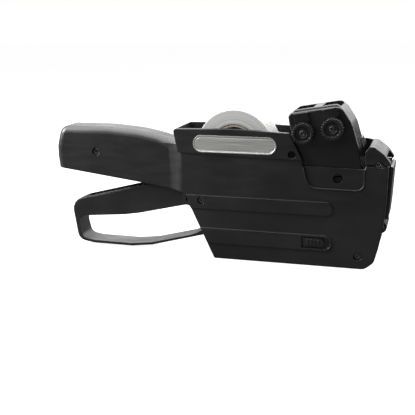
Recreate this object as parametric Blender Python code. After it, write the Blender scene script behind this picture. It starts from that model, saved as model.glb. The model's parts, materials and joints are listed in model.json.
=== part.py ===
"""Hand price labeller: a two-line label gun with a squeeze lever, a swinging print head and a label roll.

Frame: metres, +Z up, +X to the nose, origin at the middle of the flat base. The right shell is at -Y.
Outlines are in millimetres in the side view, (x, z), with an optional corner radius as a third number.
"""

import math

import bmesh
import bpy
from mathutils import Matrix, Vector

MM = 0.001
GAP = 0.3  # clearance between neighbouring pieces

# Half widths about the middle plane
SEAM = 0.15
BODY_HALF = 17.7
RAISED_HALF = 18.5
WALL = 1.7
INNER_HALF = BODY_HALF - WALL
HANDLE_HALF = 13.0
HANDLE_INNER = 10.8
TRIGGER_HALF = 8.7
TRIGGER_WAY = TRIGGER_HALF + 0.9
GATE_HALF = 12.9
FRONT_HALF = 14.5
ARM_INNER, ARM_OUTER = 13.5, 15.3
HEAD_HALF = 15.4
BOSS_FACE = 15.5
AXLE_END = 16.6

# Label supply
LABEL_HALF = 13.0
ROLL_CENTRE = (-34.5, 77.3)
ROLL_RADIUS = 26.4
CORE_RADIUS = 15.0
CRADLE_RADIUS = 27.8

# Mechanism, in the side view
HEAD_PIVOT = (-48.5, 42.8)
HEAD_STROKE = 10.5
TRIGGER_PIVOT = (-39.5, 26.0)
TRIGGER_STROKE = 16.0
DRIVE_PIN = (-8.0, 21.5)
DRIVE_PIN_RADIUS = 1.8
PLATEN_TOP = 38.0
TYPE_FACE = 38.85
REAR_KNOB, FRONT_KNOB = (21.0, 78.4), (40.3, 78.4)
KNOB_RADIUS = 7.2
INK_PIVOT = (60.0, 62.0)
INK_ROLLER = (46.0, 51.0)
FEED_CENTRE = (20.0, 22.0)
FEED_RADIUS = 9.5
GATE_HINGE = (10.0, 3.5)
APPLICATOR = (64.8, 28.6)
APPLICATOR_RADIUS = 4.0

# Screws: x, z, half width of the surface that each is sunk in
SHELL_SCREWS = {
    "handle": (-136.5, 71.2, HANDLE_HALF),
    "rear": (-56.7, 41.3, RAISED_HALF),
    "front": (51.0, 9.0, BODY_HALF),
}
NOSE_SCREW = (62.8, 70.9)
SCREW_SINK = 0.6
SCREW_HEAD_RADIUS, SCREW_HEAD_THICKNESS, SCREW_SHANK_RADIUS = 2.6, 1.0, 1.2

BAND_COUNT = 10
BAND_PITCH = 2.2
BAND_THICKNESS = 0.9
BAND_WHEEL_RADIUS = 5.1
REAR_FOOT, FRONT_FOOT, FOOT_HALF = 27.3, 37.0, 4.2
ANVIL_TOP = 66.0
KNOB_TEETH = 24

# Axles between the shells: x, z, radius
AXLES = {
    "trigger": (*TRIGGER_PIVOT, 2.0),
    "head": (*HEAD_PIVOT, 2.0),
    "ink_arm": (*INK_PIVOT, 1.5),
    "feed": (*FEED_CENTRE, 1.6),
    "gate": (*GATE_HINGE, 1.2),
    "applicator": (*APPLICATOR, 1.2),
}

# Outer shapes of the casing
BODY = [(-72, 82), (6, 82), (13.3, 72, 1), (13.3, 68.3, 0.5), (53.2, 67.8, 0.5), (54, 70.4, 0.5), (68.8, 70.4, 0.6),
        (68.2, 42.5, 60), (66.2, 26.5, 60), (64.1, 14.9, 20), (61.5, 5, 5), (55.5, 0, 6), (-48, 0, 1.5),
        (-69.8, 45.8, 1), (-70.2, 74, 1)]
BAND = [(-76.9, 90.4, 2.2), (-33, 91.5, 120), (3.7, 89.9, 1.6), (13.5, 72, 1), (-30, 72.6, 200), (-73.4, 74, 1)]
UPPER_RIB = [(-68, 44.9, 0.8), (33.8, 44.9, 4.7), (33.8, 35.3, 4.7), (-64.6, 35.3, 0.8)]
LOWER_RIB = [(-57.6, 22, 0.8), (33.9, 22, 5.4), (33.9, 11, 5.4), (-52.6, 11, 0.8)]
HANDLE = [(-163.6, 88.6, 6), (-131, 89, 80), (-107.7, 87.2, 60), (-92.5, 84.4, 60), (-66, 77), (-66, 38), (-166, 50, 2),
          (-168.6, 74, 60)]
HANDLE_HOLLOW = [(-163.5, 40), (-165.8, 73.5, 40), (-161.3, 86.3, 4), (-131, 86.7, 60), (-107, 84.8, 60), (-92, 82, 20),
                 (-79, 78.5), (-79, 40)]
HANDLE_UNDERSIDE = [(-175, 59.8), (-95, 49.6, 60), (-70.2, 46), (-70.2, 30), (-175, 30)]
TRIGGER_PASSAGE = [(-84, 36), (-84, 67), (-76, 64, 4), (-62, 57, 3), (-44, 50), (-44, 8), (-84, 8)]
BODY_HOLLOW = [(-74.9, 105), (-74.9, 87), (-71.7, 72, 3), (-68.3, 60, 3), (-68.1, 45.8, 1), (-47, WALL, 1), (48, WALL, 1),
               (54.2, 1.9, 3), (60.1, 7.5, 4), (62.2, 15.6, 20), (64.3, 27, 40), (66.3, 42.5, 60), (66.9, 72), (66.9, 105)]
NOTCH = [(10.5, 80), (16, 57.2, 5), (19.8, 53.8, 4), (51.2, 53.4, 3.5), (53.6, 57.5, 4), (53.4, 80)]
NOTCH_HALF = 16.9
FRONT_WINDOW = [(58, 3.2), (58, 75), (80, 75), (80, 3.2)]
GATE_WINDOW = [(6, -5), (6, 6), (70, 6), (70, -5)]
LATCH_POCKET = [(13.4, 20.6, 0.8), (32.6, 20.6, 4.2), (32.6, 12.4, 4.2), (13.4, 12.4, 0.8)]
LATCH_POCKET_HALF = 16.9
# Round openings in the right side wall: x, z, radius
SIDE_HOLES = {"band": (5.8, 75.6, 2.7), "notch": (36.3, 60.8, 3.3)}
NOSE_CAP = [(53.3, 70.8, 0.4), (53.3, 79.2, 0.6), (56.2, 82.9, 0.6), (59, 82.9, 3), (65.8, 77.9, 5), (71.2, 70.8, 1.2)]
FAR_CHEEK = [(46.8, 68.6, 0.4), (46.8, 79.4, 1.5), (50.4, 83.6, 1.5), (57.5, 82.3, 1), (57.5, 71.2), (52.9, 71.2, 0.3),
             (52.9, 68.6, 0.3)]
FRONT_PLATE = [(66.9, 35, 0.3), (69.5, 34.6, 0.6), (70.4, 45.5, 60), (71.0, 59, 60), (71.6, 69.6, 1), (69.2, 70.1, 0.5),
               (68.9, 59, 60), (68.3, 45.5, 60)]
GATE = [(6.8, 0.3, 0.4), (54.2, 0.3, 6), (61.2, 6.2, 5), (63.9, 14.9, 20), (66.0, 24.3, 0.5), (64.2, 24.5, 0.5),
        (62.2, 15.6, 20), (59.6, 7.9, 4), (53.2, 2.2, 5), (6.8, 2.2, 0.4)]
NAME_PLATE = [(-62.4, 86.7, 5.85), (-4.2, 86.7, 5.85), (-4.2, 75.0, 5.85), (-62.4, 75.0, 5.85)]

# Trigger, at rest
LOOP_OUTER = [(-160, 33.4, 9), (-96, 49.6, 30), (-76, 47.4, 8), (-70.6, 41.2, 5), (-64.5, 32.2, 5), (-52, 29.2, 4),
              (-39.5, 31.6, 5), (-33.8, 26, 4), (-8, 24.8, 3.2), (-4.7, 21.5, 3), (-8, 18.2, 3), (-34, 20.4, 4),
              (-44, 18.4, 6), (-60, 13.2, 20), (-105, 1.3, 60), (-143, 1.5, 12), (-155.3, 3.4, 7)]
LOOP_INNER = [(-155.4, 21.8, 6), (-112.4, 25.5, 80), (-68.2, 35.8, 5), (-63, 27.5, 4), (-56.5, 24.5, 3), (-56.5, 18.8, 3),
              (-66, 13.6, 20), (-105, 3.6, 60), (-143, 4.0, 6), (-151.6, 5.6, 5)]

# Print head, drawn with the head pressed down
HOUSING = [(11.9, 92.3, 3), (47, 91.7, 6), (52.6, 79, 12), (54.6, 62, 20), (54.6, 46, 1.5), (14.8, 46, 3), (14.2, 61, 8),
           (11.8, 85, 8)]
HEAD_CROWN = [(14.6, 80), (14.8, 93.5, 2), (45.4, 93.0, 4), (49.0, 86.5, 2), (49.0, 80)]
ARM = [(-52.7, 47, 4.6), (-44, 47, 4), (-40, 41.6, 4), (2, 42, 3), (7.5, 45.7, 2), (50, 45.7, 1), (50, 40.2, 1),
       (6, 40.2, 2), (0, 34.6, 4), (-2.6, 22, 3), (-2.6, 10.4, 2.6), (-16, 10.4, 2.6), (-16, 30, 5), (-22, 34.8, 4),
       (-44, 34.8, 4), (-52.7, 38.4, 4.6)]


# ---- outlines ---------------------------------------------------------------------------------

def turned(spot, degrees, about=(0.0, 0.0)):
    """A side-view point turned about another as a positive turn about +Y does: the nose side goes down."""
    angle = math.radians(degrees)
    x, z = spot[0] - about[0], spot[1] - about[1]
    return (about[0] + x * math.cos(angle) + z * math.sin(angle), about[1] - x * math.sin(angle) + z * math.cos(angle))


def rounded(corners, inset=0.0, facet=24):
    """The closed outline through the corners, each rounded by its radius, all moved inwards by inset."""
    spots = [Vector(corner[:2]) for corner in corners]
    count = len(spots)
    area = sum(spots[i - 1].x * spots[i].y - spots[i].x * spots[i - 1].y for i in range(count))
    inwards = 1 if area > 0 else -1
    outline = []
    for i, corner in enumerate(corners):
        arriving = spots[i] - spots[i - 1]
        leaving = spots[(i + 1) % count] - spots[i]
        room = 0.48 * min(arriving.length, leaving.length)
        arriving.normalize()
        leaving.normalize()
        first = arriving.orthogonal() * inwards
        second = leaving.orthogonal() * inwards
        here = spots[i] + (first + second) * (inset / (1 + first.dot(second)))
        turn = math.atan2(arriving.x * leaving.y - arriving.y * leaving.x, arriving.dot(leaving))
        if len(corner) < 3 or abs(turn) < 0.02:
            outline.append(here)
            continue
        half_tangent = math.tan(abs(turn) / 2)
        radius = min(corner[2], room / half_tangent)
        radius = max(radius - inset if turn * inwards > 0 else radius + inset, 0.08)
        to_centre = arriving.orthogonal() * (radius if turn > 0 else -radius)
        centre = here - arriving * (radius * half_tangent) + to_centre
        steps = max(1, math.ceil(abs(turn) / math.radians(facet)))
        for k in range(steps + 1):
            outline.append(centre + Matrix.Rotation(turn * k / steps, 2) @ -to_centre)
    return [(spot.x, spot.y) for spot in outline]


def circle(centre, radius, sides=24):
    angles = [2 * math.pi * k / sides for k in range(sides)]
    return [(centre[0] + radius * math.cos(a), centre[1] + radius * math.sin(a)) for a in angles]


def toothed(centre, tip, root, teeth, slant=0.0):
    """A wheel's outline with pointed teeth; slant leans them over, as on a ratchet."""
    outline = []
    for k in range(teeth):
        for radius, share in ((root, 0.0), (tip, 0.5 + slant)):
            a = 2 * math.pi * (k + share) / teeth
            outline.append((centre[0] + radius * math.cos(a), centre[1] + radius * math.sin(a)))
    return outline


# ---- solids -----------------------------------------------------------------------------------

def skin(name, rings, closed=False):
    """One solid from rings of (x, y, z) in millimetres. A closed run of rings makes a tube with a hole."""
    bm = bmesh.new()
    loops = [[bm.verts.new(Vector(spot) * MM) for spot in ring] for ring in rings]
    size = len(loops[0])
    last = len(loops) if closed else len(loops) - 1
    for j in range(last):
        one, two = loops[j], loops[(j + 1) % len(loops)]
        for k in range(size):
            bm.faces.new((one[k], one[(k + 1) % size], two[(k + 1) % size], two[k]))
    if not closed:
        bm.faces.new(loops[0])
        bm.faces.new(loops[-1])
    bmesh.ops.recalc_face_normals(bm, faces=bm.faces)
    mesh = bpy.data.meshes.new(name)
    bm.to_mesh(mesh)
    bm.free()
    mesh.shade_smooth()
    mesh.set_sharp_from_angle(angle=math.radians(35))
    piece = bpy.data.objects.new(name, mesh)
    bpy.context.scene.collection.objects.link(piece)
    return piece


def across(outline, y):
    return [(x, y, z) for x, z in outline]


def slab(name, corners, low, high, edge=0.0, both=False, steps=3):
    """A plate across the body from y = low to high, its far edge (or both edges) rounded by edge."""
    way = 1 if high > low else -1
    rings = []
    turn = [math.pi / 2 * k / steps for k in range(steps + 1)] if edge else [0.0]
    if both and edge:
        rings += [(low + way * edge * (1 - math.sin(a)), edge * (1 - math.cos(a))) for a in reversed(turn)]
    else:
        rings.append((low, 0.0))
    rings += [(high - way * edge * (1 - math.sin(a)), edge * (1 - math.cos(a))) for a in turn]
    return skin(name, [across(rounded(corners, inset), y) for y, inset in rings])


def lathe(name, centre, stations, sides=24):
    """A solid turned about the Y direction, from (y, radius) stations."""
    return skin(name, [across(circle(centre, radius, sides), y) for y, radius in stations])


def sleeve(name, centre, outer, inner, low, high, sides=24):
    """A tube along Y."""
    stations = [(low, outer), (high, outer), (high, inner), (low, inner)]
    return skin(name, [across(circle(centre, radius, sides), y) for y, radius in stations], closed=True)


def box(name, low, high):
    (x0, y0, z0), (x1, y1, z1) = low, high
    outline = [(x0, z0), (x1, z0), (x1, z1), (x0, z1)]
    return skin(name, [across(outline, y0), across(outline, y1)])


def boolean(target, others, operation):
    for other in others:
        modifier = target.modifiers.new(other.name, "BOOLEAN")
        modifier.operation = operation
        modifier.solver = "EXACT"
        modifier.object = other
        other.hide_render = True
        other.display_type = "WIRE"
    return target


def join(target, *others):
    return boolean(target, others, "UNION")


def cut(target, *others):
    return boolean(target, others, "DIFFERENCE")


# ---- materials and placing ----------------------------------------------------------------------

FINISHES = {
    "casing": ((0.022, 0.022, 0.023), 0.42, 0.0),
    "lever": ((0.02, 0.02, 0.021), 0.4, 0.0),
    "inner_plastic": ((0.05, 0.05, 0.052), 0.5, 0.0),
    "name_plate": ((0.56, 0.57, 0.58), 0.35, 0.6),
    "paper": ((0.86, 0.86, 0.84), 0.85, 0.0),
    "card": ((0.42, 0.36, 0.28), 0.9, 0.0),
    "steel": ((0.5, 0.5, 0.51), 0.3, 1.0),
    "type_rubber": ((0.03, 0.03, 0.032), 0.7, 0.0),
    "ink_foam": ((0.03, 0.025, 0.06), 0.9, 0.0),
    "roller_rubber": ((0.06, 0.06, 0.06), 0.75, 0.0),
}


def finish(piece, kind):
    """A Principled material of the piece's own, in one of the finishes."""
    colour, roughness, metallic = FINISHES[kind]
    material = bpy.data.materials.new(piece.name)
    material.use_nodes = True
    shader = material.node_tree.nodes["Principled BSDF"]
    shader.inputs["Base Color"].default_value = (*colour, 1.0)
    shader.inputs["Roughness"].default_value = roughness
    shader.inputs["Metallic"].default_value = metallic
    material.diffuse_color = (*colour, 1.0)
    piece.data.materials.clear()
    piece.data.materials.append(material)
    return piece


def hang(pivot_empty, *pieces):
    """Moves pieces' origins to the pivot and parents them to its empty, so that they turn with it."""
    for piece in pieces:
        parts = [piece] + [m.object for m in piece.modifiers if m.type == "BOOLEAN"]
        for part in parts:
            nested = [m.object for m in part.modifiers if m.type == "BOOLEAN" and m.object not in parts]
            parts += nested
        for part in parts:
            part.data.transform(Matrix.Translation(-Vector(pivot_empty["drawn_at"])))
            part.parent = pivot_empty


def pivot(name, spot, parent=None, tilt=0.0, y=0.0):
    """An empty on a joint's axis. Its pieces are drawn in place and then hung on it."""
    empty = bpy.data.objects.new(name, None)
    bpy.context.scene.collection.objects.link(empty)
    here = Vector((spot[0], y, spot[1])) * MM
    empty["drawn_at"] = here
    empty.location = here - Vector(parent["drawn_at"]) if parent else here
    empty.parent = parent
    empty.rotation_euler.y = math.radians(tilt)
    return empty


# ---- casing -------------------------------------------------------------------------------------

def flare(name, side):
    """The shoulder that widens the handle to the body, in plan."""
    sweep = [(-86 + 15.8 * t, HANDLE_HALF - 0.5 + (BODY_HALF - HANDLE_HALF + 0.5) * t ** 1.8)
             for t in (0.0, 0.25, 0.5, 0.75, 1.0)]
    plan = [(-86, 9.0)] + sweep + [(-68, BODY_HALF), (-68, 9.0)]
    return skin(name, [[(x, side * y, z) for x, y in plan] for z in (40.0, 79.5)])


def shell(name, side):
    """One half of the casing with its half of the handle. side is -1 for the right and 1 for the left."""
    far = side * 30.0
    piece = slab(name, BODY, side * SEAM, side * BODY_HALF, edge=1.2)
    handle = slab(name + "_handle", HANDLE, side * SEAM, side * HANDLE_HALF, edge=5.2, steps=4)
    join(piece, handle, flare(name + "_flare", side),
         slab(name + "_band", BAND, side * SEAM, side * RAISED_HALF, edge=0.7, steps=2),
         slab(name + "_upper_rib", UPPER_RIB, side * (BODY_HALF - 1), side * RAISED_HALF, edge=0.5, steps=2),
         slab(name + "_lower_rib", LOWER_RIB, side * (BODY_HALF - 1), side * RAISED_HALF, edge=0.5, steps=2))
    cut(piece,
        slab(name + "_underside", HANDLE_UNDERSIDE, -side, far),
        slab(name + "_hollow", BODY_HOLLOW, -side, side * INNER_HALF),
        slab(name + "_handle_hollow", HANDLE_HOLLOW, -side, side * HANDLE_INNER),
        slab(name + "_passage", TRIGGER_PASSAGE, -side, side * TRIGGER_WAY),
        slab(name + "_notch", NOTCH, side * NOTCH_HALF, far),
        slab(name + "_front_window", FRONT_WINDOW, -side, side * (FRONT_HALF + GAP)),
        slab(name + "_gate_window", GATE_WINDOW, -side, side * (GATE_HALF + GAP)),
        slab(name + "_plate_pocket", [(x, z + way * GAP, r) for (x, z, r), way in zip(NAME_PLATE, (1, 1, -1, -1))],
             side * (RAISED_HALF - 0.6), far))
    for label, (x, z, radius) in AXLES.items():
        join(piece, lathe(f"{name}_{label}_boss", (x, z), [(side * BOSS_FACE, radius + 1.4),
                                                          (side * (BODY_HALF - 0.6), radius + 1.4)], 16))
    for label, (x, z, surface) in SHELL_SCREWS.items():
        join(piece, lathe(f"{name}_{label}_post", (x, z), [(side * SEAM, 2.9), (side * (surface - 1.2), 2.9)], 16))
    for label, (x, z, radius) in AXLES.items():
        cut(piece, lathe(f"{name}_{label}_bore", (x, z), [(side * (BOSS_FACE - 1), radius + GAP),
                                                         (side * (AXLE_END + 0.3), radius + GAP)], 16))
    if side < 0:
        for label, (x, z, radius) in SIDE_HOLES.items():
            cut(piece, lathe(f"{name}_{label}_opening", (x, z), [(-INNER_HALF + 2, radius), (far, radius)], 28))
    for label, (x, z, surface) in SHELL_SCREWS.items():
        hole = SCREW_SHANK_RADIUS + GAP
        if side < 0:
            seat = surface - SCREW_SINK - SCREW_HEAD_THICKNESS - GAP
            stations = [(1, hole), (-seat, hole), (-seat, SCREW_HEAD_RADIUS + GAP), (-30, SCREW_HEAD_RADIUS + GAP)]
        else:
            stations = [(-1, hole), (9, hole)]
        cut(piece, lathe(f"{name}_{label}_hole", (x, z), stations, 20))
    nose_seat = RAISED_HALF - SCREW_SINK - SCREW_HEAD_THICKNESS - GAP
    cut(piece, lathe(name + "_nose_hole", NOSE_SCREW, [(side * 12, SCREW_SHANK_RADIUS + GAP),
                                                      (side * nose_seat, SCREW_SHANK_RADIUS + GAP),
                                                      (side * nose_seat, SCREW_HEAD_RADIUS + GAP),
                                                      (far, SCREW_HEAD_RADIUS + GAP)], 20))
    return finish(piece, "casing")


def casing():
    right, left = shell("right_shell", -1), shell("left_shell", 1)
    cut(right, slab("latch_pocket", LATCH_POCKET, -LATCH_POCKET_HALF, -30))
    # The right shell's floor reaches past the seam under the origin, and the left shell's is cut back for it.
    join(right, box("lap_tab", (-10, -2, 0), (4, 2, WALL)))
    cut(left, box("lap_notch", (-10 - GAP, -1, -2), (4 + GAP, 2 + GAP, 5)))

    cap = slab("nose_cap", NOSE_CAP, -18.3, 18.3, edge=0.9, both=True, steps=2)
    cap_hollow = [(40, 60), (40, 81.5), (57.6, 81.4, 3), (64.6, 76.5, 5), (68.6, 71.4, 1), (68.9, 60)]
    join(cap, slab("far_cheek", FAR_CHEEK, 15.8, 18.3, edge=0.6, both=True, steps=2))
    cut(cap, slab("cap_hollow", cap_hollow, -15.2, 15.2),
        box("cap_slot", (66.4, -12.5, 66), (75, 12.5, 76.4)))
    for side in (-1, 1):
        join(cap, lathe(f"cap_post_{side}", NOSE_SCREW, [(side * 8, 2.7), (side * 15.6, 2.7)], 16))
        seat = RAISED_HALF - SCREW_SINK - SCREW_HEAD_THICKNESS - GAP
        head = SCREW_HEAD_RADIUS + GAP
        hole = SCREW_SHANK_RADIUS + GAP
        cut(cap, lathe(f"cap_hole_{side}", NOSE_SCREW, [(side * 6, hole), (side * seat, hole), (side * seat, head),
                                                        (side * 30, head)], 20))
    finish(cap, "casing")
    finish(slab("front_plate", FRONT_PLATE, -FRONT_HALF, FRONT_HALF, edge=0.5, both=True, steps=2), "casing")

    for side, label in ((-1, "right"), (1, "left")):
        plate = slab("name_plate_" + label, [(x + w * GAP, z, r - GAP) for (x, z, r), w in
                                             zip(NAME_PLATE, (1, -1, -1, 1))],
                     side * (RAISED_HALF - 0.3), side * (RAISED_HALF + 0.3), edge=0.25, steps=2)
        finish(plate, "name_plate")


def gate():
    hinge = pivot("gate_pivot", GATE_HINGE)
    flap = slab("base_gate", GATE, -GATE_HALF, GATE_HALF, edge=0.4, both=True, steps=1)
    for k, y in enumerate((-9.0, 9.0)):
        join(flap, slab(f"gate_knuckle_{k}", [(7.2, 1.2), (7.2, 6.3, 2.6), (12.8, 6.3, 2.6), (12.8, 1.2)],
                        y - 3, y + 3))
    cut(flap, lathe("gate_bore", GATE_HINGE, [(-20, 1.2 + GAP), (20, 1.2 + GAP)], 16))
    hang(hinge, finish(flap, "casing"))

    catch = [(14.6, 19.4, 0.8), (28.6, 19.4, 3.2), (28.6, 13.6, 3.2), (14.6, 13.6, 0.8)]
    button = slab("gate_latch", catch, -LATCH_POCKET_HALF - GAP, -RAISED_HALF + 0.2, edge=0.4, steps=2)
    slide = pivot("latch_slide", (21.6, 16.5), y=-LATCH_POCKET_HALF)
    ridges = [slab(f"latch_ridge_{k}", [(17 + 2.4 * k, 18.6), (18 + 2.4 * k, 18.6), (18 + 2.4 * k, 14.4),
                                        (17 + 2.4 * k, 14.4)], -LATCH_POCKET_HALF - 0.6, -RAISED_HALF - 0.2)
              for k in range(4)]
    hang(slide, finish(join(button, *ridges), "casing"))


def screws():
    places = {f"{label}_screw": (x, z, -1, surface, 7.0) for label, (x, z, surface) in SHELL_SCREWS.items()}
    for side, label in ((-1, "right"), (1, "left")):
        places[f"nose_screw_{label}"] = (*NOSE_SCREW, side, RAISED_HALF, -9.5)
    for name, (x, z, side, surface, reach) in places.items():
        top = surface - SCREW_SINK
        stations = [(-side * reach, SCREW_SHANK_RADIUS), (side * (top - SCREW_HEAD_THICKNESS), SCREW_SHANK_RADIUS),
                    (side * (top - SCREW_HEAD_THICKNESS), SCREW_HEAD_RADIUS), (side * (top - 0.3), SCREW_HEAD_RADIUS),
                    (side * top, SCREW_HEAD_RADIUS - 0.5)]
        screw = lathe(name, (x, z), stations, 20)
        for k, angle in enumerate((35, 125)):
            bar = [turned((x - 1.7, z - 0.35), angle, (x, z)), turned((x + 1.7, z - 0.35), angle, (x, z)),
                   turned((x + 1.7, z + 0.35), angle, (x, z)), turned((x - 1.7, z + 0.35), angle, (x, z))]
            cut(screw, slab(f"{name}_cross_{k}", bar, side * (top - 0.65), side * 25))
        finish(screw, "steel")


def axles():
    for label, (x, z, radius) in AXLES.items():
        if label != "head":
            stations = [(-AXLE_END, radius - 0.3), (-AXLE_END + 0.3, radius), (AXLE_END - 0.3, radius),
                        (AXLE_END, radius - 0.3)]
            finish(lathe(label + "_axle", (x, z), stations, 16), "steel")
    # The head turns on two short pins, so that the trigger and the web pass between them.
    for side, label in ((-1, "right"), (1, "left")):
        finish(lathe("head_pin_" + label, HEAD_PIVOT, [(side * 12.4, 3.2), (side * 13.2, 3.2), (side * 13.2, 2.0),
                                                       (side * AXLE_END, 2.0)], 16), "steel")


# ---- label supply ---------------------------------------------------------------------------------

def label_supply():
    x, z = ROLL_CENTRE
    arc = [math.radians(a) for a in range(192, 325, 12)]
    outer = [(x + (CRADLE_RADIUS + 1.5) * math.cos(a), z + (CRADLE_RADIUS + 1.5) * math.sin(a)) for a in arc]
    inner = [(x + CRADLE_RADIUS * math.cos(a), z + CRADLE_RADIUS * math.sin(a)) for a in reversed(arc)]
    cradle = skin("roll_cradle", [across(outer + inner, y) for y in (-15.7, 15.7)])
    for side in (-1, 1):
        ear = [(x - 9, z - 27.6, 0.5), (x - 6.5, z + 6, 2), (x + 6.5, z + 6, 2), (x + 9, z - 27.6, 0.5)]
        join(cradle, slab(f"cradle_ear_{side}", ear, side * 14.2, side * 15.7))
    slot = [(x - 3.4, z - 3.4, 3.3), (x - 3.4, z + 20), (x + 3.4, z + 20), (x + 3.4, z - 3.4, 3.3)]
    cut(cradle, slab("cradle_slot", slot, -25, 25))
    finish(cradle, "inner_plastic")

    spin = pivot("roll_pivot", ROLL_CENTRE)
    roll = finish(sleeve("label_roll", ROLL_CENTRE, ROLL_RADIUS, CORE_RADIUS + 1.2 + GAP, -13.3, 13.3, 48), "paper")
    core = finish(sleeve("roll_core", ROLL_CENTRE, CORE_RADIUS + 1.2, CORE_RADIUS, -13.5, 13.5, 36), "card")
    hub = lathe("roll_hub", ROLL_CENTRE, [(-15.8, 2.9), (-12.6, 2.9), (-12.6, CORE_RADIUS - GAP), (12.6, CORE_RADIUS - GAP),
                                          (12.6, 2.9), (15.8, 2.9)], 28)
    for side in (-1, 1):
        cut(hub, sleeve(f"hub_dish_{side}", ROLL_CENTRE, CORE_RADIUS - 1.8, 5.0, side * 3, side * 14, 28))
    hang(spin, roll, core, finish(hub, "inner_plastic"))

    half = 0.1
    leave = 20.3
    start = (x + (ROLL_RADIUS + 0.5) * math.cos(math.radians(leave)), z + (ROLL_RADIUS + 0.5) * math.sin(math.radians(leave)))
    wrap = [(FEED_CENTRE[0] + (FEED_RADIUS + 0.7) * math.cos(math.radians(a)),
             FEED_CENTRE[1] + (FEED_RADIUS + 0.7) * math.sin(math.radians(a))) for a in range(80, 221, 20)]
    path = [start, (7.3, PLATEN_TOP + 0.9), (9, PLATEN_TOP + 0.35), (57.2, PLATEN_TOP + 0.35), (61.6, 37.0), (62.1, 36.0),
            (61.2, 35.0), (56, 34.6), (44, 33.6)] + wrap
    web = ribbon("label_web", path, half)
    finish(web, "paper")


def ribbon(name, path, half):
    """A thin strip of label paper along a side-view path."""
    spots = [Vector(spot) for spot in path]
    above, below = [], []
    for k, spot in enumerate(spots):
        run = (spots[min(k + 1, len(spots) - 1)] - spots[max(k - 1, 0)]).normalized().orthogonal() * half
        above.append(tuple(spot + run))
        below.append(tuple(spot - run))
    return skin(name, [across(above + below[::-1], y) for y in (-LABEL_HALF, LABEL_HALF)])


# ---- mechanism --------------------------------------------------------------------------------------

def trigger():
    axis = pivot("trigger_pivot", TRIGGER_PIVOT)
    lever = slab("trigger", LOOP_OUTER, -TRIGGER_HALF, TRIGGER_HALF, edge=1.6, both=True, steps=2)
    cut(lever, slab("trigger_opening", LOOP_INNER, -20, 20),
        lathe("trigger_bore", TRIGGER_PIVOT, [(-20, 2.0 + GAP), (20, 2.0 + GAP)], 20),
        lathe("trigger_pin_hole", DRIVE_PIN, [(-20, DRIVE_PIN_RADIUS + GAP), (20, DRIVE_PIN_RADIUS + GAP)], 16))
    channel = [(-150, 44, 1), (-150, 33, 3), (-96, 43, 20), (-79, 41, 4), (-79, 60, 1)]
    cut(lever, slab("trigger_channel", channel, -TRIGGER_HALF + 2, TRIGGER_HALF - 2))
    pin = lathe("drive_pin", DRIVE_PIN, [(-ARM_OUTER - 0.1, DRIVE_PIN_RADIUS), (ARM_OUTER + 0.1, DRIVE_PIN_RADIUS)], 16)
    hang(axis, finish(lever, "lever"), finish(pin, "steel"))

    turns, sides, wire, radius = 2.6, 12, 0.55, 3.3
    steps = round(turns * sides)
    coil = bpy.data.curves.new("trigger_spring", "CURVE")
    coil.dimensions = "3D"
    coil.bevel_depth = wire * MM
    coil.bevel_resolution = 1
    coil.use_fill_caps = True
    spline = coil.splines.new("POLY")
    spots = []
    for k in range(steps + 1):
        a = 2 * math.pi * k / sides
        spots.append((TRIGGER_PIVOT[0] + radius * math.cos(a), 9.6 + 3.4 * k / steps, TRIGGER_PIVOT[1] + radius * math.sin(a)))
    spots.append((spots[-1][0] - 8, spots[-1][1], spots[-1][2] - 9))
    spline.points.add(len(spots) - 1)
    for point, spot in zip(spline.points, spots):
        point.co = (*(Vector(spot) * MM), 1.0)
    spring = bpy.data.objects.new("trigger_spring", coil)
    bpy.context.scene.collection.objects.link(spring)
    finish(spring, "steel")


def print_arm(head):
    """The frame that carries the head: two side plates joined by a bar on the legs that the drive pin moves."""
    slot_ends = [turned(DRIVE_PIN, HEAD_STROKE, HEAD_PIVOT), turned(DRIVE_PIN, TRIGGER_STROKE, TRIGGER_PIVOT)]
    middle = Vector(slot_ends[0]).lerp(Vector(slot_ends[1]), 0.5)
    run = (middle - Vector(HEAD_PIVOT)).normalized()
    long, wide = run * (DRIVE_PIN_RADIUS + 2.2), run.orthogonal() * (DRIVE_PIN_RADIUS + 0.35)
    slot = [(*(middle + a * long + b * wide), 2.0) for a, b in ((1, 1), (1, -1), (-1, -1), (-1, 1))]
    arm = slab("print_arm", ARM, -ARM_OUTER, ARM_OUTER)
    between = [(-80, 0), (-80, 80), (80, 80), (80, 0)]
    bar = [(-12.6, 24.4, 0.6), (-12.6, 28.6, 0.6), (-6.4, 28.6, 0.6), (-6.4, 24.4, 0.6)]
    cut(arm, slab("arm_between", between, -ARM_INNER, ARM_INNER))
    join(arm, slab("arm_bar", bar, -ARM_INNER - 1, ARM_INNER + 1))
    cut(arm, lathe("arm_bore", HEAD_PIVOT, [(-30, 2.0 + GAP), (30, 2.0 + GAP)], 20), slab("arm_slot", slot, -30, 30))
    hang(head, finish(arm, "steel"))


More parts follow.
